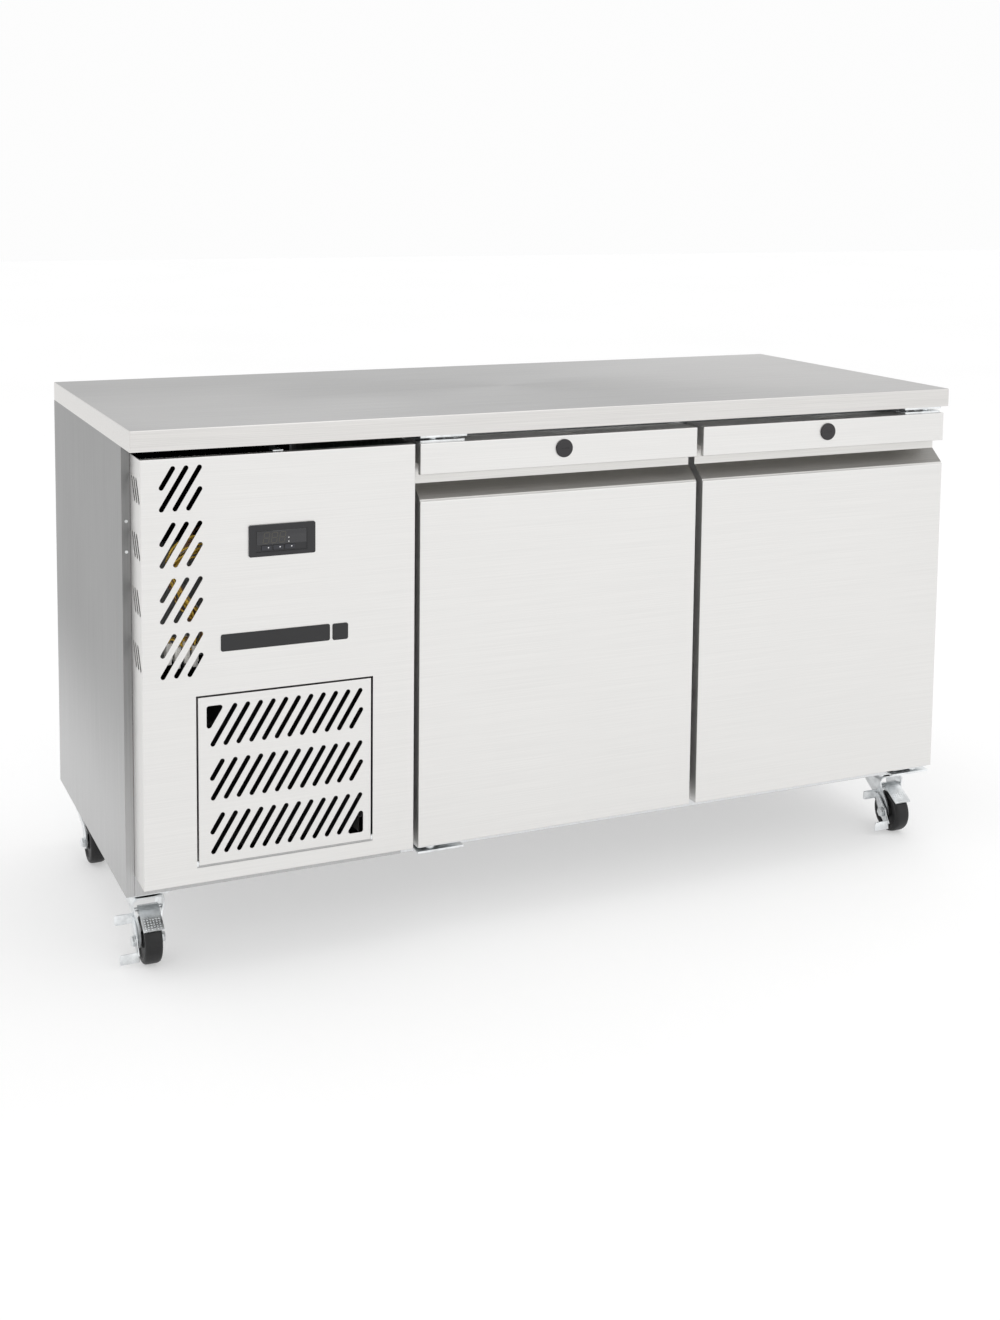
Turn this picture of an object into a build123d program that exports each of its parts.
from build123d import *
from math import cos, hypot, pi, radians, sin
import os

# Two-door undercounter refrigerator on castors, its machine compartment at the left.
# Millimetres. +Z is up, the doors face -Y, and +X is to the right of a person facing them.
# The origin is on the floor, under the middle of the whole box.

# ---- overall sizes
cabinet_width = 1490.0
worktop_depth = 626.0
overall_height = 850.0
wheel_radius = 38.0
wheel_headroom = 39.0        # top of a wheel to the cabinet's underside
castor_height = 2 * wheel_radius + wheel_headroom
worktop_edge = 32.0
worktop_overhang = 62.0      # worktop front edge to the cabinet's front plane
front_proud = 6.0            # door and service panel faces in front of the worktop edge
trim_proud = 2.5             # controller bezel and lock caps in front of those faces
pedal_overhang = 12.0        # brake pedals outside the left side panel
gland_proud = 3.0            # cable gland behind the back panel
sheet = 1.0
fold_radius = 1.6            # outer radius where the front sheets are folded

# ---- how the front is divided
side_strip = 13.4
service_width = 434.2
service_door_gap = 8.6
door_door_gap = 12.3
door_right_gap = 14.9
front_bottom_gap = 34.0      # underside of the cabinet to the bottom of the fronts
front_top_gap = 11.0         # top of the fronts to the underside of the worktop

# ---- insulated box
side_wall = 50.0
top_wall = 40.0
bottom_wall = 57.0
back_wall = 55.0
frame_depth = 16.0
mullion_width = 62.0
frame_lap = 8.0              # frame standing inside the liner's edge

# ---- doors
gasket_gap = 12.0            # door's inner face to the frame
gasket_clearance = 0.5
gasket_width = 15.0
gasket_inset = 5.0           # at the door's free edge
gasket_inset_ends = 8.0      # at its top and bottom
gasket_behind_pivot = 3.0    # gasket edge to the hinge pin, so that it clears the frame
grip_lower = 93.5            # top of the door to the foot of the grip slope
grip_upper = 50.0            # top of the door to the lower edge of the top rail
grip_depth = 30.0
grip_rise = 25.0
grip_skin = 0.8
rail_wall = 9.0
pocket_height = 18.0
pivot_inset = 28.0           # hinge pin to the door's edge
pivot_depth = 22.0           # hinge pin behind the door's face
hinge_leaf_length = 78.0
hinge_leaf_width = 30.0
hinge_leaf_thickness = 3.5
hinge_pin_radius = 4.0
lock_cap_radius = 15.0
lock_drop = 21.0             # lock centre below the top of the door
lock_barrel_radius = 9.0
lock_cam_reach = 33.0
lock_cam_width = 8.0
lock_cam_depth = 22.0        # cam behind the door's face
lock_cam_thickness = 3.0

# ---- service panel
slot_width = 7.5
slot_angle = 58.5            # slots lean this far from level
slot_group_pitch = 84.7
slot_group_top = 15.0        # panel top to the highest slot centre
slot_column_left = 31.3      # panel edge to the leftmost slot centres
slot_long = 79.0
slot_short = 40.7
slot_groups = 4
slot_pitch = 20.4
controller_width = 105.0
controller_height = 49.0
controller_left = 163.8
controller_top = 109.5
controller_body_depth = 58.0
bezel_wall = 5.0
grille_width = 277.4
grille_height = 262.5
grille_left = 84.0
grille_bottom = 27.4
grille_gap = 3.0
grille_return = 9.0
grille_fold = 1.2
grille_slot_long = 73.9
grille_slot_pitch = 20.2
grille_slot_count = 11
grille_row_pitch = 84.6
grille_row_top = 17.6        # flap top to the highest slot centre
grille_slot_left = 57.2      # flap edge to the top of the first long slot
grille_rows = 3

# ---- castors
castor_inset = 38.0          # wheel plane to the side panel
castor_front = 103.0         # swivel axis behind the worktop's front edge
castor_rear = 95.0           # swivel axis in front of the cabinet's back
wheel_width = 28.0
castor_trail = 28.0
castor_plate = 74.0
plate_thickness = 3.0
fork_gap = 2.5               # wheel side to fork leg
fork_sheet = 2.5
axle_radius = 4.0
race_radius = 27.0
kingpin_radius = 6.0
pedal_height = 16.0
pedal_sheet = 3.0
pedal_upper = (21.0, 28.0)   # pedals from the axle, along Y and Z
pedal_lower = (-17.0, -20.0)
crown_setback = 6.0          # fork legs short of the race's rear edge
crown_lip = 2.0              # and in front of its front edge
leg_shoulder_rear = 16.0     # crown down to where a leg starts to narrow
leg_shoulder_front = 24.0
leg_foot = 13.0              # half a leg's width at the axle
leg_below_axle = 12.0
leg_corner = 5.0
nut_corners = 15.0           # axle nut, corner to corner
tyre_round = 4.0
rim_width = 9.0
rim_recess = 3.0
hub_radius = 12.0
sleeve_wall = 2.0            # lever's bearing sleeve round the axle bolt

# ---- clearances
run_clearance = 0.05         # pins and shafts in their bores, on the radius
face_clearance = 0.4         # faces on different bodies that slide past each other
curve_clearance = 0.35       # curved faces on different bodies

# ---- planes worked out from the sizes
total_depth = worktop_depth + front_proud + trim_proud + gland_proud
y_back = total_depth / 2 - gland_proud
y_worktop = y_back - worktop_depth
y_face = y_worktop - front_proud
y_trim = y_face - trim_proud
y_cab = y_worktop + worktop_overhang
x_right = (cabinet_width + pedal_overhang) / 2
x_left = x_right - cabinet_width
z_base = castor_height
z_under = overall_height - worktop_edge
z_front_low = z_base + front_bottom_gap
z_front_top = z_under - front_top_gap
x_service = x_left + side_strip
x_service_right = x_service + service_width
x_doors = x_service_right + service_door_gap
door_width = (x_right - door_right_gap - x_doors - door_door_gap) / 2
x_door_two = x_doors + door_width + door_door_gap
x_partition = x_service_right + service_door_gap / 2
x_cold_left = x_partition + side_wall
x_cold_right = x_right - side_wall
y_cold_front = y_cab + frame_depth
y_cold_back = y_back - back_wall
z_cold_low = z_base + bottom_wall
z_cold_top = z_under - top_wall
x_mullion = x_door_two - door_door_gap / 2
y_door_inner = y_cab - gasket_gap
x_machine_left = x_left + sheet
x_machine_right = x_partition

nodes = {}


def block(x0, x1, y0, y1, z0, z1):
    return Pos((x0 + x1) / 2, (y0 + y1) / 2, (z0 + z1) / 2) * Box(x1 - x0, y1 - y0, z1 - z0)


def rod_x(x0, x1, y, z, radius):
    return Pos((x0 + x1) / 2, y, z) * Rot(0, 90, 0) * Cylinder(radius, x1 - x0)


def rod_y(y0, y1, x, z, radius):
    return Pos(x, (y0 + y1) / 2, z) * Rot(90, 0, 0) * Cylinder(radius, y1 - y0)


def rod_z(z0, z1, x, y, radius):
    return Pos(x, y, (z0 + z1) / 2) * Cylinder(radius, z1 - z0)


def hexagon_x(x0, x1, y, z, across):
    face = Plane.YZ * RegularPolygon(across / 2, 6, major_radius=False)
    return Pos(x0, y, z) * extrude(face, amount=x1 - x0, dir=(1, 0, 0))


def prism_x(points, x0, x1):
    face = make_face(Plane.YZ * Polyline(points, close=True))
    return Pos(x0, 0, 0) * extrude(face, amount=x1 - x0, dir=(1, 0, 0))


def tube_path(points, bends, radius):
    path = FilletPolyline(*points, radius=bends)
    start = path ^ 0
    return sweep(Plane(origin=start.position, z_dir=start.z_axis.direction) * Circle(radius), path=path)


def group(solids):
    return Compound(children=solids)


# ---- worktop: a folded pan with return flanges, slotted for the two lock cams
worktop_return = 58.0


def lock_center(x_low):
    return x_low + door_width / 2


def make_worktop():
    pan = block(x_left, x_right, y_worktop, y_back, z_under, overall_height)
    folds = pan.edges().filter_by(Axis.Z) + pan.edges().group_by(Axis.Z)[-1]
    pan = fillet(folds, fold_radius)
    pan -= block(
        x_left + sheet, x_right - sheet, y_worktop + sheet, y_back - sheet,
        z_under + sheet, overall_height - sheet,
    )
    pan -= block(
        x_left + worktop_return, x_right - worktop_return,
        y_worktop + worktop_return, y_back - worktop_return,
        z_under, z_under + sheet,
    )
    for x_low in (x_doors, x_door_two):
        x_lock = lock_center(x_low)
        pan -= block(
            x_lock - lock_cam_width / 2 - 3, x_lock + lock_cam_width / 2 + 11,
            y_face + lock_cam_depth - 3, y_face + lock_cam_depth + lock_cam_thickness + 3,
            z_under, z_under + sheet,
        )
    return pan


nodes["worktop"] = make_worktop()


# ---- outer shell
def make_side_panel(x_outer, inward):
    x_inner = x_outer + inward * sheet
    x_strip = x_outer + inward * (side_strip - face_clearance)
    low, high = sorted((x_outer, x_inner))
    panel = block(low, high, y_cab, y_back, z_base, z_under)
    low, high = sorted((x_outer, x_strip))
    panel += block(low, high, y_cab, y_cab + sheet, z_base, z_under)
    return panel


nodes["side_panel_left"] = make_side_panel(x_left, 1)
nodes["side_panel_right"] = make_side_panel(x_right, -1)

gland_radius = 9.0
gland_bore_radius = 4.5
gland_thread = 16.0
gland_x = x_left + 120.0
gland_z = z_base + 90.0
back_slot_height = 6.0
back_slot_length = 260.0
back_slot_pitch = 24.0
back_slot_rows = 9


def make_back_panel():
    panel = block(x_left + sheet, x_right - sheet, y_back - sheet, y_back, z_base, z_under)
    x_slots = (x_machine_left + x_machine_right) / 2
    for row in range(back_slot_rows):
        slot = SlotOverall(back_slot_length, back_slot_height)
        z = z_under - 120.0 - row * back_slot_pitch
        panel -= Pos(x_slots, y_back, z) * Rot(90, 0, 0) * extrude(slot, amount=5, both=True)
    return panel - rod_y(y_back - 5, y_back + 5, gland_x, gland_z, gland_radius)


nodes["back_panel"] = make_back_panel()


def make_base_panel():
    pan = block(x_left + sheet, x_right - sheet, y_cab + sheet, y_back - sheet, z_base, z_base + sheet)
    lip = block(
        x_left + side_strip, x_partition - sheet, y_cab, y_cab + sheet,
        z_base, z_front_low + 6,
    )
    return pan + lip


nodes["base_panel"] = make_base_panel()
nodes["partition_panel"] = block(
    x_partition - sheet, x_partition, y_cab + sheet, y_back - sheet, z_base + sheet, z_under
)


# ---- insulated box: foam boards, liner panels laid on them, and a folded front frame, foam filled
frame_left = x_partition + side_wall - frame_lap / 2
frame_right = x_cold_right - frame_lap
frame_low = z_cold_low + frame_lap / 2
frame_top = z_cold_top - frame_lap


def frame_members():
    # bottom rail, top rail, left stile, right stile, mullion, and the post behind the right strip
    x_outer = x_right - side_strip
    y0, y1 = y_cab, y_cold_front
    z0, z1 = z_base + sheet, z_under
    half = mullion_width / 2
    return [
        (x_partition, x_outer, y0, y1, z0, frame_low),
        (x_partition, x_outer, y0, y1, frame_top, z1),
        (x_partition, frame_left, y0, y1, frame_low, frame_top),
        (frame_right, x_outer, y0, y1, frame_low, frame_top),
        (x_mullion - half, x_mullion + half, y0, y1, frame_low, frame_top),
        (x_outer, x_right - sheet, y0 + sheet, y1, z0, z1),
    ]


def member_core(x0, x1, y0, y1, z0, z1):
    # what fills a folded member, whose sheet is open towards the back
    return block(x0 + sheet, x1 - sheet, y0 + sheet, y1, z0 + sheet, z1 - sheet)


def make_cabinet_foam():
    outer = (x_partition, x_right - sheet, y_cold_front, y_back - sheet, z_base + sheet, z_under)
    x0, x1, y0, y1, z0, z1 = outer
    left = x_cold_left - sheet
    right = x_cold_right + sheet
    back = y_cold_back + sheet
    low = z_cold_low - sheet
    top = z_cold_top + sheet
    boards = [
        block(x0, x1, y0, y1, z0, low),
        block(x0, x1, y0, y1, top, z1),
        block(x0, x1, back, y1, low, top),
        block(x0, left, y0, back, low, top),
        block(right, x1, y0, back, low, top),
    ]
    return group(boards + [member_core(*member) for member in frame_members()])


def make_inner_liner():
    x0, x1 = x_cold_left, x_cold_right
    y0, y1 = y_cold_front, y_cold_back
    z0, z1 = z_cold_low, z_cold_top
    return group([
        block(x0 - sheet, x1 + sheet, y0, y1 + sheet, z0 - sheet, z0),
        block(x0 - sheet, x1 + sheet, y0, y1 + sheet, z1, z1 + sheet),
        block(x0 - sheet, x1 + sheet, y1, y1 + sheet, z0, z1),
        block(x0 - sheet, x0, y0, y1, z0, z1),
        block(x1, x1 + sheet, y0, y1, z0, z1),
    ])


def make_door_frame():
    return group([block(*member) - member_core(*member) for member in frame_members()])


nodes["cabinet_foam"] = make_cabinet_foam()
nodes["inner_liner"] = make_inner_liner()
nodes["door_frame"] = make_door_frame()


# ---- service panel: a shallow box lid with slots, a controller hole and a grille opening
def slanted_slot(x, z, length, width):
    # a rounded slot with its middle at x, z in the front plane, leaning to the right
    flat = SlotOverall(length, width)
    return Pos(x, 0, z) * Rot(90, 0, 0) * Rot(0, 0, slot_angle) * extrude(flat, amount=6, both=True)


lean_x = cos(radians(slot_angle))
lean_z = sin(radians(slot_angle))


def slot_group(x, z_top):
    # short, long, long, short: the two outer slots are cut off by the group's upright sides
    half_long = (slot_long - slot_width) / 2
    half_short = (slot_short - slot_width) / 2
    z_low = z_top - 2 * half_long * lean_z
    centers = [
        (x + half_short * lean_x, z_top - half_short * lean_z, slot_short),
        (x + half_long * lean_x, z_top - half_long * lean_z, slot_long),
        (x + slot_pitch + half_long * lean_x, z_top - half_long * lean_z, slot_long),
        (x + 2 * slot_pitch + half_short * lean_x, z_low + half_short * lean_z, slot_short),
    ]
    return [slanted_slot(cx, cz, length, slot_width) for cx, cz, length in centers]


service_flange = 14.0
x_grille = x_service + grille_left
z_grille = z_front_low + grille_bottom
x_controller = x_service + controller_left
z_controller = z_front_top - controller_top - controller_height


def make_service_panel():
    panel = block(x_service, x_service_right, y_face, y_cab, z_front_low, z_front_top)
    panel = fillet(panel.edges().group_by(Axis.Y)[0], fold_radius)
    panel -= block(
        x_service + sheet, x_service_right - sheet, y_face + sheet, y_cab,
        z_front_low + sheet, z_front_top - sheet,
    )
    panel -= block(
        x_service + sheet, x_service_right - sheet, y_face + service_flange, y_cab,
        z_front_low - 1, z_front_top + 1,
    )
    cutters = []
    for row in range(slot_groups):
        z_top = z_front_top - slot_group_top - row * slot_group_pitch
        for cutter in slot_group(x_service + slot_column_left, z_top):
            cutters.append(Pos(0, y_face, 0) * cutter)
        for column in range(3):
            z = z_top - slot_long * lean_z / 2
            y = y_face + 18.0 + column * 15.0
            flank = Rot(0, 0, 90) * slanted_slot(0, 0, slot_long * 0.55, slot_width)
            cutters.append(Pos(x_service, y, z) * flank)
    panel -= Pos(0, y_face, 0) * block(
        x_grille - grille_gap, x_grille + grille_width + grille_gap, -5, 5,
        z_grille - grille_gap, z_grille + grille_height + grille_gap,
    )
    panel -= Pos(0, y_face, 0) * block(
        x_controller + bezel_wall, x_controller + controller_width - bezel_wall, -5, 5,
        z_controller + bezel_wall, z_controller + controller_height - bezel_wall,
    )
    return panel - cutters


nodes["service_panel"] = make_service_panel()


# ---- condenser grille: a drop-down flap, hinged along its lower edge
grille_axis_y = y_face + 2.0
grille_axis_z = z_grille + 3.0
grille_pin_radius = 1.5


def make_condenser_grille():
    x0, x1 = x_grille, x_grille + grille_width
    z0, z1 = z_grille, z_grille + grille_height
    flap = block(x0, x1, y_face, y_face + grille_return, z0, z1)
    flap = fillet(flap.edges().group_by(Axis.Y)[0], grille_fold)
    flap -= block(x0 + sheet, x1 - sheet, y_face + sheet, y_face + grille_return, z0, z1 - sheet)
    cutters = []
    half_long = (grille_slot_long - slot_width) / 2
    half_short = half_long * 0.45
    for row in range(grille_rows):
        z_top = z1 - grille_row_top - row * grille_row_pitch
        x_top = x0 + grille_slot_left
        z_low = z_top - 2 * half_long * lean_z
        for count in range(grille_slot_count):
            x = x_top + count * grille_slot_pitch
            middle = slanted_slot(x - half_long * lean_x, z_top - half_long * lean_z,
                                  grille_slot_long, slot_width)
            cutters.append(middle)
        short = 2 * half_short + slot_width
        if row > 0:
            x = x_top - grille_slot_pitch
            cutters.append(slanted_slot(x - half_short * lean_x, z_top - half_short * lean_z,
                                        short, slot_width))
        if row < grille_rows - 1:
            x = x_top - 2 * half_long * lean_x + grille_slot_count * grille_slot_pitch
            cutters.append(slanted_slot(x + half_short * lean_x, z_low + half_short * lean_z,
                                        short, slot_width))
    tri = grille_corner_triangle(x0 + 13.0, z1 - 14.0, 1)
    cutters.append(tri)
    cutters.append(grille_corner_triangle(x1 - 13.0, z0 + 14.0, -1))
    for cutter in cutters:
        flap -= Pos(0, y_face, 0) * cutter
    ears = [
        block(x0 + sheet, x0 + sheet + 3, y_face + sheet, y_face + grille_return, z0, z0 + 8),
        block(x1 - sheet - 3, x1 - sheet, y_face + sheet, y_face + grille_return, z0, z0 + 8),
    ]
    for ear in ears:
        flap += ear
    bore = rod_x(x0 - 1, x1 + 1, grille_axis_y, grille_axis_z, grille_pin_radius + run_clearance)
    return flap - bore


def grille_corner_triangle(x, z, sign):
    points = [(x, z), (x + sign * 28.0, z), (x, z - sign * 45.0)]
    face = make_face(Plane.XZ * Polyline(points, close=True))
    face = fillet(face.vertices(), 4.0)
    return extrude(face, amount=6, both=True)


nodes["condenser_grille"] = make_condenser_grille()


# ---- condenser, its fan and the compressor
coil_gap = 34.0              # front faces to the condenser's fins
coil_depth = 44.0
coil_margin = 10.0           # fins inside the grille opening, each side
coil_tube_radius = 4.75
coil_rows = 8
coil_ranks = 2
fan_radius = 98.0
fan_hub_radius = 24.0
fan_hub_depth = 26.0
fan_blades = 5
fan_blade_pitch = 32.0
motor_radius = 36.0
motor_length = 62.0
motor_shaft_radius = 3.0
shroud_depth = 30.0
x_coil_left = x_grille + coil_margin
x_coil_right = x_grille + grille_width - coil_margin
z_coil_low = z_grille + coil_margin
z_coil_top = z_grille + grille_height - coil_margin
y_coil = y_face + coil_gap
y_coil_back = y_coil + coil_depth
x_fan = (x_coil_left + x_coil_right) / 2
z_fan = (z_coil_low + z_coil_top) / 2
coil_row_pitch = (z_coil_top - z_coil_low) / coil_rows
coil_rank_pitch = coil_depth / coil_ranks


def make_condenser_coil():
    pieces = [block(x_coil_left, x_coil_right, y_coil, y_coil_back, z_coil_low, z_coil_top)]
    for x0, x1 in ((x_coil_left - 1.5, x_coil_left), (x_coil_right, x_coil_right + 1.5)):
        pieces.append(block(x0, x1, y_coil - 3, y_coil_back, z_coil_low - 8, z_coil_top + 8))
    bend_radius = coil_row_pitch / 2
    for rank in range(coil_ranks):
        y = y_coil + (rank + 0.5) * coil_rank_pitch
        for row in range(coil_rows - 1):
            z = z_coil_low + (row + 1) * coil_row_pitch
            bend = Torus(bend_radius, coil_tube_radius, major_angle=180)
            if row % 2 == 0:
                placed = Pos(x_coil_right + 1.5, y, z) * Rot(90, 0, 0) * Rot(0, 0, -90) * bend
            else:
                placed = Pos(x_coil_left - 1.5, y, z) * Rot(90, 0, 0) * Rot(0, 0, 90) * bend
            pieces.append(placed)
    return group(pieces)


y_shroud = y_coil_back
y_fan = y_shroud + shroud_depth / 2
y_motor = y_shroud + shroud_depth + 14.0


def make_fan_shroud():
    x0, x1 = x_coil_left - 1.5, x_coil_right + 1.5
    z0, z1 = z_coil_low - 8, z_coil_top + 8
    shell = block(x0, x1, y_shroud, y_shroud + shroud_depth, z0, z1)
    shell -= block(x0 + 2, x1 - 2, y_shroud, y_shroud + shroud_depth - 2, z0 + 2, z1 - 2)
    shell -= rod_y(y_shroud - 1, y_shroud + shroud_depth + 1, x_fan, z_fan, fan_radius + 6)
    strap_back = y_motor + motor_length
    for side in (-1, 1):
        x = x_fan + side * (motor_radius - 12)
        shell += block(x - 7, x + 7, strap_back, strap_back + 2, z0, z1)
        shell += block(x - 7, x + 7, y_shroud + shroud_depth - 2, strap_back + 2, z0, z0 + 2)
        shell += block(x - 7, x + 7, y_shroud + shroud_depth - 2, strap_back + 2, z1 - 2, z1)
    return shell


def make_fan(hub_radius, hub_depth, tip_radius, blade_count, blade_pitch, bore):
    # a fan on the Z axis, its hub's middle at the origin
    fan = Cylinder(hub_radius, hub_depth)
    span = tip_radius - hub_radius + 2
    chord = 2 * pi * (hub_radius + span / 2) / blade_count * 0.62
    for count in range(blade_count):
        blade = Pos(hub_radius - 2 + span / 2, 0, 0) * Rot(blade_pitch, 0, 0) * Box(span, chord, 2.0)
        fan += Rot(0, 0, 360 / blade_count * count) * blade
    fan &= Cylinder(tip_radius, hub_depth * 4)
    return fan - Cylinder(bore, hub_depth * 2)


def make_motor(radius, length, shaft_reach):
    # a motor behind the origin on +Z, its shaft reaching towards -Z
    body = Pos(0, 0, length / 2) * Cylinder(radius, length)
    body = fillet(body.edges().filter_by(GeomType.CIRCLE), 4.0)
    return body + Pos(0, 0, -shaft_reach / 2) * Cylinder(motor_shaft_radius, shaft_reach)


nodes["condenser_coil"] = make_condenser_coil()
nodes["fan_shroud"] = make_fan_shroud()
nodes["condenser_fan"] = Pos(x_fan, y_fan, z_fan) * Rot(-90, 0, 0) * make_fan(
    fan_hub_radius, fan_hub_depth, fan_radius, fan_blades, fan_blade_pitch,
    motor_shaft_radius + run_clearance,
)

compressor_radius = 82.0
compressor_height = 165.0
compressor_foot = 20.0
compressor_wall = 4.0
pump_radius = 45.0           # motor and pump inside the pot
pump_height = 95.0
compressor_x = (x_machine_left + x_machine_right) / 2 + 40.0
compressor_y = y_back - 150.0
z_floor = z_base + sheet


def make_compressor():
    pot = Cylinder(compressor_radius, compressor_height)
    pot = fillet(pot.edges().group_by(Axis.Z)[-1], compressor_radius * 0.6)
    pot = fillet(pot.edges().group_by(Axis.Z)[0], compressor_radius * 0.3)
    pot -= Cylinder(compressor_radius - compressor_wall - 20, compressor_height - 2 * compressor_wall - 24)
    pot -= Cylinder(compressor_radius - compressor_wall, pump_height)
    z = z_floor + compressor_foot + 3 + compressor_height / 2
    pot = Pos(compressor_x, compressor_y, z) * pot
    plate_half = compressor_radius + 12
    z_plate = z_floor + compressor_foot
    pot += block(compressor_x - plate_half, compressor_x + plate_half,
                 compressor_y - 45, compressor_y + 45, z_plate, z_plate + 3.5)
    pot += block(compressor_x - compressor_radius - 24, compressor_x - compressor_radius + 8,
                 compressor_y - 32, compressor_y + 32, z - 34, z + 38)
    z_pump = z - compressor_height / 2 + compressor_wall + 12
    pump = rod_z(z_pump, z_pump + pump_height, compressor_x, compressor_y, pump_radius)
    pieces = [pot, pump]
    for side_x in (-1, 1):
        for side_y in (-1, 1):
            x = compressor_x + side_x * (plate_half - 12)
            y = compressor_y + side_y * 33
            pieces.append(rod_z(z_floor, z_plate, x, y, 11.0))
    return group(pieces)


nodes["compressor"] = make_compressor()


# ---- evaporator, hung on the partition wall inside the left bay
evaporator_depth = 92.0
evaporator_length = 360.0
evaporator_height = 300.0
evaporator_shell = 2.0
evaporator_front = 70.0      # cover behind the insulated box's front
evaporator_fan_radius = 76.0
evaporator_fan_offset = 88.0
y_evap = y_cold_front + evaporator_front
y_evap_back = y_evap + evaporator_length
z_evap_top = z_cold_top - 6.0
z_evap_low = z_evap_top - evaporator_height
x_evap = x_cold_left + evaporator_depth
y_evap_fan = y_evap + evaporator_fan_offset + 20
z_evap_fan = (z_evap_top + z_evap_low) / 2
x_evap_fan = x_evap - 16.0


def make_evaporator_cover():
    shell = block(x_cold_left, x_evap, y_evap, y_evap_back, z_evap_low, z_evap_top)
    shell = fillet(shell.edges().group_by(Axis.X)[-1], 6.0)
    shell -= block(
        x_cold_left, x_evap - evaporator_shell, y_evap + evaporator_shell,
        y_evap_back - evaporator_shell, z_evap_low + evaporator_shell, z_evap_top - evaporator_shell,
    )
    shell -= rod_x(x_evap - 9, x_evap + 1, y_evap_fan, z_evap_fan, evaporator_fan_radius + 4)
    slot = SlotOverall(120, 7)
    for row in range(9):
        z = z_evap_top - 40 - row * 27.0
        cutter = Pos(x_evap, y_evap_back - 90, z) * Rot(0, 0, 90) * Rot(90, 0, 0)
        shell -= cutter * extrude(slot, amount=8, both=True)
    for offset in (-0.5, 0.5):
        bar_z = z_evap_fan + offset * evaporator_fan_radius
        half = evaporator_fan_radius
        shell += block(x_evap - 2, x_evap, y_evap_fan - half, y_evap_fan + half, bar_z - 2, bar_z + 2)
    return shell


coil_inset = 14.0
motor_small_radius = 26.0
motor_small_length = 34.0
x_evap_motor = x_evap_fan - 16.0 - motor_small_length


def make_evaporator_coil():
    y0 = y_evap_fan + evaporator_fan_radius + 12
    y1 = y_evap_back - 6
    fins = block(x_cold_left, x_evap - 22, y0, y1, z_evap_low + coil_inset, z_evap_top - coil_inset)
    mount_plate = block(x_cold_left, x_cold_left + 2, y_evap + 6, y0, z_evap_low + 8, z_evap_top - 8)
    post = rod_x(x_cold_left + 2, x_evap_motor, y_evap_fan, z_evap_fan, 12.0)
    return group([fins, mount_plate, post])


nodes["evaporator_cover"] = make_evaporator_cover()
nodes["evaporator_coil"] = make_evaporator_coil()
nodes["evaporator_fan"] = Pos(x_evap_fan, y_evap_fan, z_evap_fan) * Rot(0, -90, 0) * make_fan(
    18.0, 16.0, evaporator_fan_radius, fan_blades, fan_blade_pitch * 0.5,
    motor_shaft_radius + run_clearance,
)
condenser_motor = Pos(x_fan, y_motor, z_fan) * Rot(-90, 0, 0) * make_motor(
    motor_radius, motor_length, y_motor - y_fan + fan_hub_depth / 2
)
evaporator_motor = Pos(x_evap_motor + motor_small_length, y_evap_fan, z_evap_fan) * Rot(0, -90, 0) * (
    make_motor(motor_small_radius, motor_small_length, x_evap_fan - x_evap_motor - motor_small_length + 8)
)
nodes["fan_motors"] = group([condenser_motor, evaporator_motor])


# ---- pipework, tray, electrical box, wiring and gland
pipe_radius = 4.0
pipe_bend = 22.0
suction_offset = 26.0        # suction pipe beside the discharge pipe, on the compressor's flat top


def make_refrigerant_pipes():
    z_pot_top = z_floor + compressor_foot + 3 + compressor_height
    z_head = z_coil_top + 60
    x_side = x_machine_right - 45
    discharge = tube_path([
        (compressor_x, compressor_y, z_pot_top),
        (compressor_x, compressor_y, z_head),
        (x_side, compressor_y - 90, z_head),
        (x_side, y_coil_back + 20, z_head),
        (x_side, y_coil_back + 20, z_coil_top - 20),
        (x_coil_right + 2 + coil_tube_radius, y_coil_back + 20, z_coil_top - 70),
    ], pipe_bend, pipe_radius)
    z_suction = z_evap_low + 60
    suction = tube_path([
        (compressor_x + suction_offset, compressor_y, z_pot_top),
        (compressor_x + suction_offset, compressor_y, z_suction),
        (x_machine_right - sheet, compressor_y, z_suction),
    ], pipe_bend, pipe_radius)
    x_drier = x_machine_left + 60
    y_drier = compressor_y - 150
    z_drier = z_floor + 60
    drier = rod_z(z_drier, z_drier + 110, x_drier, y_drier, 14.0)
    drier = fillet(drier.edges().filter_by(GeomType.CIRCLE), 9.0)
    liquid = tube_path([
        (x_drier, y_drier, z_drier + 110),
        (x_drier, y_drier, z_drier + 250),
        (x_drier + 120, y_drier + 40, z_drier + 250),
        (x_drier + 120, y_drier + 40, z_suction + 90),
        (x_machine_right - sheet, y_drier + 40, z_suction + 90),
    ], pipe_bend, pipe_radius * 0.7)
    return group([discharge, suction, drier, liquid])


def make_condensate_tray():
    x0, x1 = x_machine_left + 12, x_machine_left + 130
    y0, y1 = y_back - 150, y_back - 20
    tray = block(x0, x1, y0, y1, z_floor, z_floor + 45)
    tray = fillet(tray.edges().filter_by(Axis.Z), 10.0)
    return tray - block(x0 + 3, x1 - 3, y0 + 3, y1 - 3, z_floor + 2, z_floor + 45)


box_left = x_machine_left + 20.0
box_front = y_cab + 30.0
box_low = z_front_top - 330.0


def make_electrical_box():
    box = block(box_left, box_left + 150, box_front, box_front + 70, box_low, box_low + 170)
    return fillet(box.edges().filter_by(Axis.Y), 5.0)


wire_radius = 1.6
wire_count = 5
wire_pitch = 9.0


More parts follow.
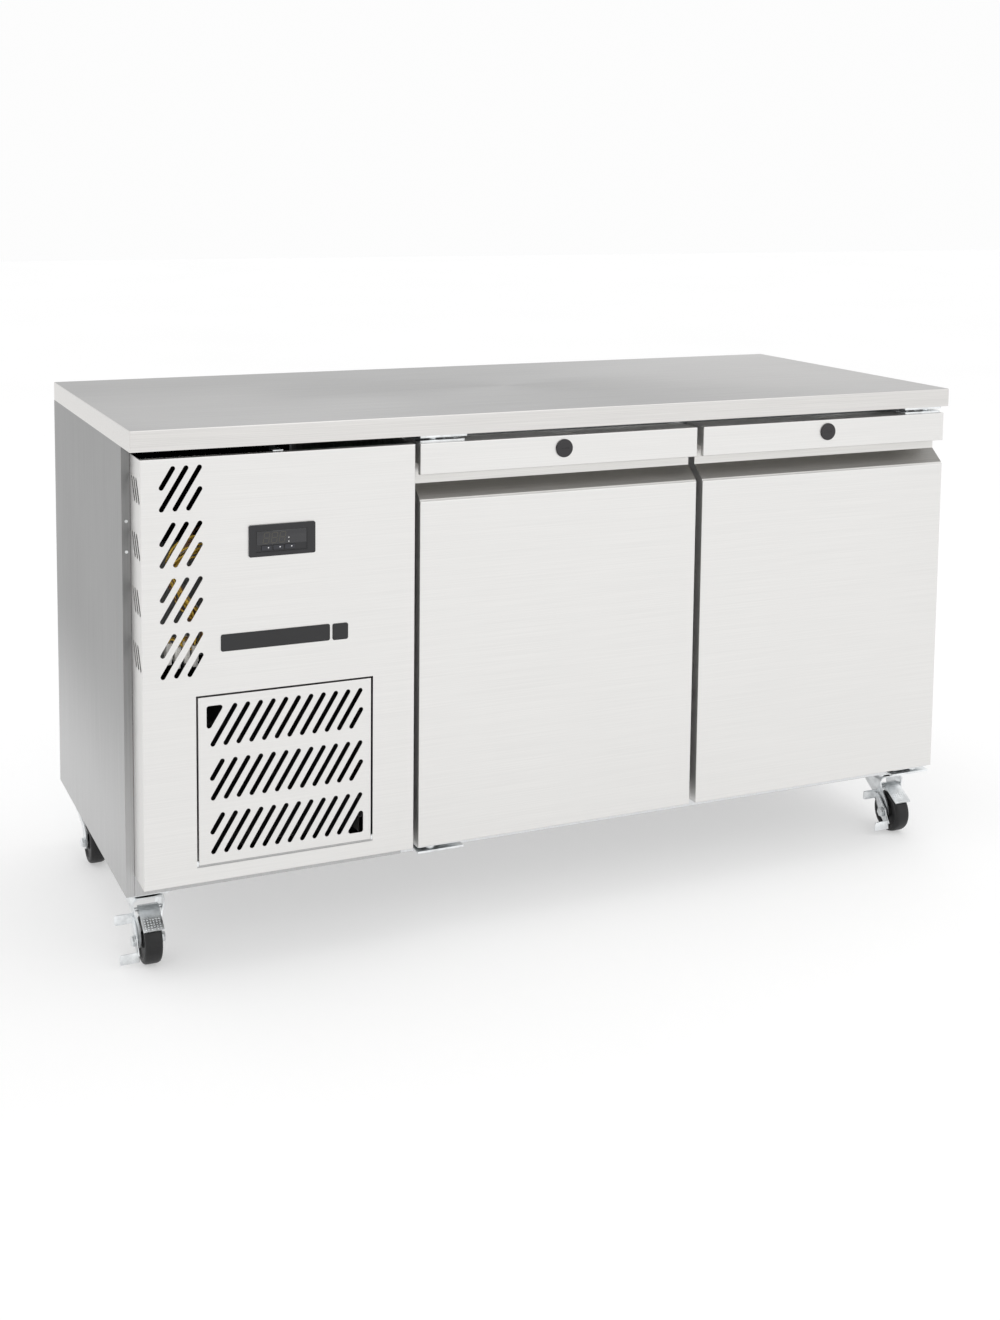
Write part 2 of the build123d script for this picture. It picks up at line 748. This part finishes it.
def make_wiring_loom():
    pieces = []
    x_column = x_service + slot_column_left + 8
    y_wire = y_face + 34.0
    z_low = z_front_top - 350.0
    z_case = z_controller + 20.0
    for count in range(wire_count):
        x = x_column + count * wire_pitch
        y = y_wire + (count % 2) * 7.0
        z_top = z_front_top - 120.0 - count * 6.0
        pieces.append(tube_path([
            (x_controller - 1, y, z_case + count * 4.0),
            (x + 14, y, z_top),
            (x, y + 4, z_top - 90),
            (x + 6, y, z_low + 30),
            (x + 6, y, z_low),
        ], 8.0, wire_radius))
    plug = block(x_column - 2, x_column + wire_count * wire_pitch + 4,
                 y_wire - 8, y_wire + 14, z_low - 22, z_low)
    lead = tube_path([
        (x_column + 20, y_wire + 3, z_low - 22),
        (x_column + 20, y_wire + 3, z_low - 60),
        (x_column + 20, box_front + 30, z_low - 60),
        (x_column + 20, box_front + 30, box_low),
    ], 12.0, 4.0)
    return group(pieces + [plug, lead])


def make_cable_gland():
    outside = hexagon_x(-gland_proud, 0, 0, 0, gland_radius * 2.6)
    thread = rod_x(-gland_proud, gland_thread, 0, 0, gland_radius)
    nut = hexagon_x(sheet, sheet + 6, 0, 0, gland_radius * 2.6)
    gland = outside + thread + nut - rod_x(-gland_proud - 1, gland_thread + 1, 0, 0, gland_bore_radius)
    return Pos(gland_x, y_back, gland_z) * Rot(0, 0, -90) * gland


nodes["refrigerant_pipes"] = make_refrigerant_pipes()
nodes["condensate_tray"] = make_condensate_tray()
nodes["electrical_box"] = make_electrical_box()
nodes["wiring_loom"] = make_wiring_loom()
nodes["cable_gland"] = make_cable_gland()


# ---- temperature controller
button_width = 16.0
button_height = 7.0
button_count = 3
button_pitch = 18.4
button_left = 19.5
button_low = 9.5
window_left = 11.0           # display window's margins inside the bezel
window_right = 13.0
window_top = 9.0
window_bottom = 6.5
window_recess = 0.8          # the keys stand in it, flush with the bezel's rim
button_travel = 1.0


def button_box(count, grow, y0, y1):
    x = x_controller + button_left + count * button_pitch
    z = z_controller + button_low
    return block(x - grow, x + button_width + grow, y0, y1, z - grow, z + button_height + grow)


def make_controller_case():
    x0, x1 = x_controller, x_controller + controller_width
    z0, z1 = z_controller, z_controller + controller_height
    bezel = block(x0, x1, y_trim, y_face, z0, z1)
    bezel = fillet(bezel.edges().filter_by(Axis.Y), 3.0)
    body = block(x0 + bezel_wall + 0.5, x1 - bezel_wall - 0.5, y_face, y_face + controller_body_depth,
                 z0 + bezel_wall + 0.5, z1 - bezel_wall - 0.5)
    case = bezel + body
    case -= block(x0 + window_left, x1 - window_right, y_trim, y_trim + window_recess,
                  z0 + window_bottom, z1 - window_top)
    for count in range(button_count):
        case -= button_box(count, 0.3, y_trim, y_trim + 2.0 + button_travel + 1.5)
    return case


nodes["controller_case"] = make_controller_case()
for number in range(button_count):
    cap = button_box(number, 0, y_trim, y_trim + 2.0)
    nodes[f"controller_button_{number + 1}"] = fillet(cap.edges().filter_by(Axis.Y), 1.0)


# ---- doors: the section is drawn in Y and Z and drawn out across the width
def door_section():
    y0 = y_face
    z1 = z_front_top
    return [
        (y0, z_front_low),
        (y0, z1 - grip_lower),
        (y0 + grip_depth, z1 - grip_lower + grip_rise),
        (y0 + grip_depth, z1 - grip_upper + pocket_height),
        (y0 + rail_wall, z1 - grip_upper + pocket_height),
        (y0 + rail_wall, z1 - grip_upper),
        (y0, z1 - grip_upper),
        (y0, z1),
        (y_door_inner, z1),
        (y_door_inner, z_front_low),
    ]


def lock_cavity(x_lock):
    z_lock = z_front_top - lock_drop
    half = lock_cam_width / 2
    y_cam = y_face + lock_cam_depth
    cavity = block(
        x_lock - half - 2, x_lock + lock_cam_reach + 1.5,
        y_cam - 0.6, y_cam + lock_cam_thickness + 0.6, z_lock - half - 2, z_front_top + 1,
    )
    return cavity + rod_y(y_face - 1, y_cam, x_lock, z_lock, lock_barrel_radius + run_clearance)


def make_door_skin(x0, x1, core):
    body = prism_x(door_section(), x0, x1)
    body = fillet(body.edges().group_by(Axis.Y)[0], fold_radius)
    back = block(x0 + sheet, x1 - sheet, y_door_inner - sheet, y_door_inner,
                 z_front_low + sheet, z_front_top - sheet)
    return body - core - back - lock_cavity((x0 + x1) / 2)


def make_door_core(x0, x1):
    face = make_face(Plane.YZ * Polyline(door_section(), close=True))
    inner = offset(face, amount=-sheet, kind=Kind.INTERSECTION)
    return Pos(x0 + sheet, 0, 0) * extrude(inner, amount=x1 - x0 - 2 * sheet, dir=(1, 0, 0))


def make_door_grip(x0, x1):
    # a channel lying on the slope, the back of the recess and the top of the pocket
    y0 = y_face
    yb = y0 + grip_depth
    z_foot = z_front_top - grip_lower
    z_bend = z_foot + grip_rise
    z_top = z_front_top - grip_upper + pocket_height
    slope_length = hypot(grip_depth, grip_rise)
    lift = grip_skin * slope_length / grip_depth
    y_start = y0 + 2 * fold_radius
    z_start = z_foot + 2 * fold_radius * grip_rise / grip_depth
    z_inner_bend = z_bend + lift - grip_skin * grip_rise / grip_depth
    return prism_x([
        (y_start, z_start),
        (yb, z_bend),
        (yb, z_top),
        (y0 + rail_wall, z_top),
        (y0 + rail_wall, z_top - grip_skin),
        (yb - grip_skin, z_top - grip_skin),
        (yb - grip_skin, z_inner_bend),
        (y_start, z_start + lift),
    ], x0, x1)


def make_door_gasket(x0, x1):
    z0 = z_front_low + gasket_inset_ends
    z1 = z_front_top - gasket_inset_ends
    y0, y1 = y_door_inner, y_cab - gasket_clearance
    w = gasket_width
    ring = block(x0, x1, y0, y1, z0, z1)
    ring = fillet(ring.edges().filter_by(Axis.Y), 3.0)
    ring -= block(x0 + w, x1 - w, y0, y1, z0 + w, z1 - w)
    groove = block(x0 - 1, x1 + 1, y0 + 3.5, y0 + 7.0, z0 - 1, z1 + 1)
    groove -= block(x0 + 2.5, x1 - 2.5, y0 + 3.5, y0 + 7.0, z0 + 2.5, z1 - 2.5)
    return ring - groove


def make_door_lock(x_lock):
    z_lock = z_front_top - lock_drop
    y_cam = y_face + lock_cam_depth
    cap = rod_y(y_trim, y_face - face_clearance, x_lock, z_lock, lock_cap_radius)
    cap = fillet(cap.edges().group_by(Axis.Y)[0], 0.8)
    barrel = rod_y(y_face - face_clearance, y_cam, x_lock, z_lock, lock_barrel_radius)
    half = lock_cam_width / 2
    cam = block(x_lock - half, x_lock + lock_cam_reach, y_cam, y_cam + lock_cam_thickness,
                z_lock - half, z_lock + half)
    slot = block(x_lock - 7, x_lock + 7, y_trim, y_trim + 0.6, z_lock - 1, z_lock + 1)
    return cap + barrel + cam - slot


def make_hinge_leaves(x_pivot, side):
    # side is the way from the pin to the door's free edge
    x_edge = x_pivot - side * (pivot_inset - 2)
    x_far = x_edge + side * hinge_leaf_length
    low, high = sorted((x_edge, x_far))
    y_pin = y_face + pivot_depth
    y0, y1 = y_pin - hinge_leaf_width / 2, y_pin + hinge_leaf_width / 2
    t = hinge_leaf_thickness
    bore = rod_z(0, overall_height, x_pivot, y_pin, hinge_pin_radius + run_clearance)
    top = block(low, high, y0, y1, z_front_top, z_front_top + t)
    bottom = block(low, high, y0, y1, z_front_low - t, z_front_low)
    leaves = []
    for leaf in (top, bottom):
        leaf = fillet(leaf.edges().filter_by(Axis.Z), 4.0)
        leaves.append(leaf - bore)
    return group(leaves)


hinge_washer_radius = 8.0
top_bracket_low = z_under - hinge_leaf_thickness
bottom_bracket_top = z_front_low - 9.5
bottom_bracket_drop = 12.0


def make_hinge_bracket_pair(x_pivot, side):
    x_edge = x_pivot - side * (pivot_inset - 2)
    x_far = x_edge + side * (hinge_leaf_length + 2)
    low, high = sorted((x_edge, x_far))
    y_pin = y_face + pivot_depth
    y_front = y_pin - hinge_leaf_width / 2 - 1
    t = hinge_leaf_thickness
    top = block(low, high, y_front, y_cab, top_bracket_low, z_under)
    top += rod_z(z_front_top + 0.4, top_bracket_low, x_pivot, y_pin, hinge_pin_radius)
    top += rod_z(z_front_top + t + face_clearance, top_bracket_low, x_pivot, y_pin, hinge_washer_radius)
    bottom = block(low, high, y_front, y_cab, bottom_bracket_top - t, bottom_bracket_top)
    bottom += block(low, high, y_cab - t, y_cab, bottom_bracket_top - bottom_bracket_drop,
                    bottom_bracket_top)
    bottom += rod_z(bottom_bracket_top, z_front_low - 0.4, x_pivot, y_pin, hinge_pin_radius)
    bottom += rod_z(bottom_bracket_top, z_front_low - t - face_clearance, x_pivot, y_pin,
                    hinge_washer_radius)
    return [top, bottom]


bracket_solids = []
for side_name, x_low, side in (("left", x_doors, 1), ("right", x_door_two, -1)):
    x_high = x_low + door_width
    hinge_edge = x_low if side == 1 else x_high
    x_pivot = hinge_edge + side * pivot_inset
    hinge_inset = pivot_inset - gasket_behind_pivot
    free_inset = gasket_inset
    gasket_x = sorted((hinge_edge + side * hinge_inset, hinge_edge + side * (door_width - free_inset)))
    core = make_door_core(x_low, x_high)
    x_lock = lock_center(x_low)
    nodes[f"door_{side_name}_skin"] = make_door_skin(x_low, x_high, core)
    nodes[f"door_{side_name}_foam"] = core - lock_cavity(x_lock)
    nodes[f"door_{side_name}_liner"] = block(
        x_low + sheet, x_high - sheet, y_door_inner - sheet, y_door_inner,
        z_front_low + sheet, z_front_top - sheet,
    )
    nodes[f"door_{side_name}_grip"] = make_door_grip(x_low, x_high)
    nodes[f"door_{side_name}_gasket"] = make_door_gasket(*gasket_x)
    nodes[f"door_{side_name}_lock"] = make_door_lock(x_lock)
    nodes[f"door_{side_name}_hinge_leaves"] = make_hinge_leaves(x_pivot, side)
    bracket_solids += make_hinge_bracket_pair(x_pivot, side)
nodes["hinge_brackets"] = group(bracket_solids)


# ---- wire shelves and what carries them
shelf_level = 232.0          # shelf above the floor of the insulated box
shelf_wire = 3.0
shelf_frame = 6.0
shelf_wire_pitch = 24.0
shelf_side_gap = 8.0
shelf_front_gap = 20.0
shelf_back_gap = 24.0
post_size = 22.0
strip_depth = 4.0
strip_width = 22.0
clip_size = 14.0
z_shelf = z_cold_low + shelf_level


def shelf_span(bay):
    post_half = post_size / 2
    if bay == "left":
        return x_cold_left + strip_depth + shelf_side_gap, x_mullion - post_half - shelf_side_gap
    return x_mullion + post_half + shelf_side_gap, x_cold_right - strip_depth - shelf_side_gap


def make_shelf(bay):
    x0, x1 = shelf_span(bay)
    y0, y1 = y_cold_front + shelf_front_gap, y_cold_back - shelf_back_gap
    f = shelf_frame
    shelf = block(x0, x1, y0, y1, z_shelf, z_shelf + f)
    shelf -= block(x0 + f, x1 - f, y0 + f, y1 - f, z_shelf, z_shelf + f)
    gaps = round((x1 - x0 - f) / shelf_wire_pitch)
    pitch = (x1 - x0 - f) / gaps
    wires = []
    for count in range(1, gaps):
        x = x0 + f / 2 + count * pitch
        wires.append(block(x - shelf_wire / 2, x + shelf_wire / 2, y0 + f / 2, y1 - f / 2,
                           z_shelf + f - shelf_wire, z_shelf + f))
    y_mid = (y0 + y1) / 2
    wires.append(block(x0 + f / 2, x1 - f / 2, y_mid - 2, y_mid + 2, z_shelf + 1, z_shelf + 1 + shelf_wire))
    return shelf + wires


def make_shelf_supports():
    pieces = []
    y_front = y_cold_front + 40.0
    y_rear = y_cold_back - 60.0
    z0, z1 = z_cold_low, z_cold_top
    clip_top = z_shelf - 0.3
    evaporator_clear = z_evap_low - 4.0
    reach = shelf_side_gap + shelf_frame
    for y in (y_front, y_rear):
        pieces.append(block(x_cold_left, x_cold_left + strip_depth, y, y + strip_width,
                            z0, evaporator_clear))
        pieces.append(block(x_cold_right - strip_depth, x_cold_right, y, y + strip_width, z0, z1))
        half = post_size / 2
        pieces.append(block(x_mullion - half, x_mullion + half, y, y + strip_width, z0, z1))
        clips = (
            (x_cold_left + strip_depth, 1), (x_mullion - half, -1),
            (x_mullion + half, 1), (x_cold_right - strip_depth, -1),
        )
        for x, way in clips:
            low, high = sorted((x, x + way * reach))
            pieces.append(block(low, high, y + 4, y + 4 + clip_size, clip_top - 10, clip_top))
    return group(pieces)


nodes["shelf_left"] = make_shelf("left")
nodes["shelf_right"] = make_shelf("right")
nodes["shelf_supports"] = make_shelf_supports()


# ---- castors
x_castors = {"left": x_left + castor_inset, "right": x_right - castor_inset}
y_castors = {"front": y_worktop + castor_front, "rear": y_back - castor_rear}
race_height = 4.0
crown_top = castor_height - plate_thickness - race_height - face_clearance
crown_height = 8.0
leg_inner = wheel_width / 2 + fork_gap
leg_outer = leg_inner + fork_sheet
lever_inner = leg_outer + face_clearance
lever_thickness = 3.0
sleeve_radius = axle_radius + sleeve_wall
nut_height = 6.0
kingpin_head = 3.0
shoe_gap = curve_clearance
shoe_thickness = 3.0
shoe_angle = 58.0            # middle of the shoe, round the wheel from level
shoe_length = 30.0
shoe_pin_back = 10.0         # shoe's pin behind the axle
shoe_pin_gap = 8.0           # and above the wheel
shoe_pin_height = wheel_radius + shoe_pin_gap
shoe_pin_radius = 3.0


def make_castor_plates():
    pieces = []
    for x in x_castors.values():
        for y in y_castors.values():
            half = castor_plate / 2
            z = castor_height
            plate = block(x - half, x + half, y - half, y + half, z - plate_thickness, z)
            plate = fillet(plate.edges().filter_by(Axis.Z), 8.0)
            race = rod_z(z - plate_thickness - race_height, z - plate_thickness, x, y, race_radius)
            z_head = crown_top - crown_height - face_clearance
            pin = rod_z(z_head, z - plate_thickness, x, y, kingpin_radius)
            head = rod_z(z_head - kingpin_head, z_head, x, y, kingpin_radius + 4)
            pieces.append(plate + race + pin + head)
    return group(pieces)


def make_castor_fork(x, y, braked):
    y_axle = y - castor_trail
    z_axle = wheel_radius
    z0 = crown_top - crown_height
    crown = rod_z(z0, crown_top, x, y, race_radius)
    y_lip = y - race_radius - crown_lip
    y_rear = y + race_radius - crown_setback
    crown += block(x - leg_outer, x + leg_outer, y - race_radius, y_rear, z0, z0 + fork_sheet)
    outline = [
        (y_lip, z0 + fork_sheet), (y_rear, z0 + fork_sheet), (y_rear, z0 - leg_shoulder_rear),
        (y_axle + leg_foot, z_axle), (y_axle, z_axle - leg_below_axle),
        (y_axle - leg_foot, z_axle), (y_lip, z0 - leg_shoulder_front),
    ]
    leg = make_face(Plane.YZ * Polyline(outline, close=True))
    leg = fillet(leg.vertices(), leg_corner)
    fork = crown
    for low in (-leg_outer, leg_inner):
        fork += Pos(x + low, 0, 0) * extrude(leg, amount=fork_sheet, dir=(1, 0, 0))
    fork -= rod_z(z0 - 1, crown_top + 1, x, y, kingpin_radius + run_clearance)
    fork -= rod_x(x - race_radius, x + race_radius, y_axle, z_axle, axle_radius)
    if braked:
        y_pin, z_pin = y_axle + shoe_pin_back, z_axle + shoe_pin_height
        fork += rod_x(x - leg_outer, x + leg_outer, y_pin, z_pin, shoe_pin_radius)
    sleeve = leg_outer + lever_thickness + 2 * face_clearance
    reach_left = sleeve if braked else leg_outer
    bolt = rod_x(x - reach_left - nut_height, x + leg_outer + nut_height, y_axle, z_axle, axle_radius)
    if braked:
        bolt += rod_x(x - sleeve, x - leg_outer, y_axle, z_axle, sleeve_radius)
    bolt += hexagon_x(x - reach_left - nut_height, x - reach_left, y_axle, z_axle, nut_corners)
    bolt += hexagon_x(x + leg_outer, x + leg_outer + nut_height, y_axle, z_axle, nut_corners)
    return group([fork, bolt])


def make_castor_wheel(x, y):
    y_axle = y - castor_trail
    wheel = Cylinder(wheel_radius, wheel_width)
    wheel = fillet(wheel.edges(), tyre_round)
    for end in (-1, 1):
        side = Pos(0, 0, end * (wheel_width - rim_recess) / 2)
        recess = side * Cylinder(wheel_radius - rim_width, rim_recess)
        boss = side * Cylinder(hub_radius, rim_recess)
        wheel -= recess - boss
    wheel -= Cylinder(axle_radius + run_clearance, wheel_width + 2)
    return Pos(x, y_axle, wheel_radius) * Rot(0, 90, 0) * wheel


def make_brake_lever(x, y):
    y_axle, z_axle = y - castor_trail, wheel_radius
    x1 = x - lever_inner
    x0 = x1 - lever_thickness
    upper = (y_axle + pedal_upper[0], z_axle + pedal_upper[1])
    lower = (y_axle + pedal_lower[0], z_axle + pedal_lower[1])
    arm = [
        (y_axle + 9, z_axle - 4), (upper[0] + 6, upper[1] - 4), (upper[0] - 6, upper[1] + 5),
        (y_axle - 9, z_axle + 6), (lower[0] - 5, lower[1] + 4), (lower[0] + 6, lower[1] - 4),
    ]
    face = make_face(Plane.YZ * Polyline(arm, close=True))
    lever = Pos(x0, 0, 0) * extrude(face, amount=lever_thickness, dir=(1, 0, 0))
    lever += rod_x(x0, x1, y_axle, z_axle, hub_radius)
    x_out = x - castor_inset - pedal_overhang
    for y_pad, z_pad in (upper, lower):
        pad = block(x_out, x1, y_pad - pedal_sheet / 2, y_pad + pedal_sheet / 2,
                    z_pad - pedal_height / 2, z_pad + pedal_height / 2)
        lever += fillet(pad.edges().filter_by(Axis.Y).group_by(Axis.X)[0], 3.0)
    return lever - rod_x(x0 - 1, x1 + 1, y_axle, z_axle, sleeve_radius + run_clearance)


def make_brake_shoe(x, y):
    y_axle, z_axle = y - castor_trail, wheel_radius
    a = radians(shoe_angle)
    r0 = wheel_radius + shoe_gap
    out_y, out_z = -cos(a), sin(a)
    along_y, along_z = sin(a), cos(a)
    y_mid, z_mid = y_axle + out_y * r0, z_axle + out_z * r0
    half = shoe_length / 2
    t = shoe_thickness
    y_pin, z_pin = y_axle + shoe_pin_back, z_axle + shoe_pin_height
    plate = [
        (y_mid - along_y * half, z_mid - along_z * half),
        (y_mid + along_y * half, z_mid + along_z * half),
        (y_pin + 2, z_pin - 5.5),
        (y_pin + 4, z_pin + 5),
        (y_pin - 3, z_pin + 5.5),
        (y_mid + along_y * half * 0.6 + out_y * t, z_mid + along_z * half * 0.6 + out_z * t),
        (y_mid - along_y * half + out_y * t, z_mid - along_z * half + out_z * t),
    ]
    face = make_face(Plane.YZ * Polyline(plate, close=True))
    half_width = leg_inner - face_clearance
    shoe = Pos(x - half_width, 0, 0) * extrude(face, amount=2 * half_width, dir=(1, 0, 0))
    return shoe - rod_x(x - race_radius, x + race_radius, y_pin, z_pin, shoe_pin_radius + run_clearance)


nodes["castor_plates"] = make_castor_plates()
for end in ("front", "rear"):
    for side_name in ("left", "right"):
        x, y = x_castors[side_name], y_castors[end]
        label = f"{end}_{side_name}"
        nodes[f"castor_fork_{label}"] = make_castor_fork(x, y, end == "front")
        nodes[f"castor_wheel_{label}"] = make_castor_wheel(x, y)
        if end == "front":
            nodes[f"brake_lever_{side_name}"] = make_brake_lever(x, y)
            nodes[f"brake_shoe_{side_name}"] = make_brake_shoe(x, y)


# ---- fixings: castor bolts, service panel rivets and clip, and the grille's pins
def make_fixings():
    pieces = []
    bolt_spacing = castor_plate - 20.0
    for x in x_castors.values():
        for y in y_castors.values():
            for dx in (-0.5, 0.5):
                for dy in (-0.5, 0.5):
                    z = castor_height - plate_thickness
                    pieces.append(rod_z(z - 3.5, z, x + dx * bolt_spacing, y + dy * bolt_spacing, 5.5))
    x_rivet = x_left + side_strip / 2
    for z in (z_front_top - 103.0, z_front_top - 150.0):
        pieces.append(rod_y(y_cab - 1.2, y_cab, x_rivet, z, 2.4))
    clip_x = x_service + service_width * 0.49
    pieces.append(block(clip_x - 8, clip_x + 8, y_face + 8, y_cab, z_front_top + 1, z_front_top + 2.5))
    for x_edge, way in ((x_grille, -1), (x_grille + grille_width, 1)):
        low, high = sorted((x_edge + way * 0.6, x_edge + way * 11))
        lug = block(low, high, y_face + sheet, y_face + sheet + 4,
                    grille_axis_z - 4, grille_axis_z + 4)
        low, high = sorted((x_edge + way * 1, x_edge - way * 3.5))
        pieces.append(lug + rod_x(low, high, grille_axis_y, grille_axis_z, grille_pin_radius))
    return group(pieces)


nodes["fixings"] = make_fixings()


def write_parts():
    os.makedirs("parts", exist_ok=True)
    for name, shape in nodes.items():
        shape.label = name
        export_step(shape, f"parts/{name}.step")
    print(len(nodes), "parts")


write_parts()
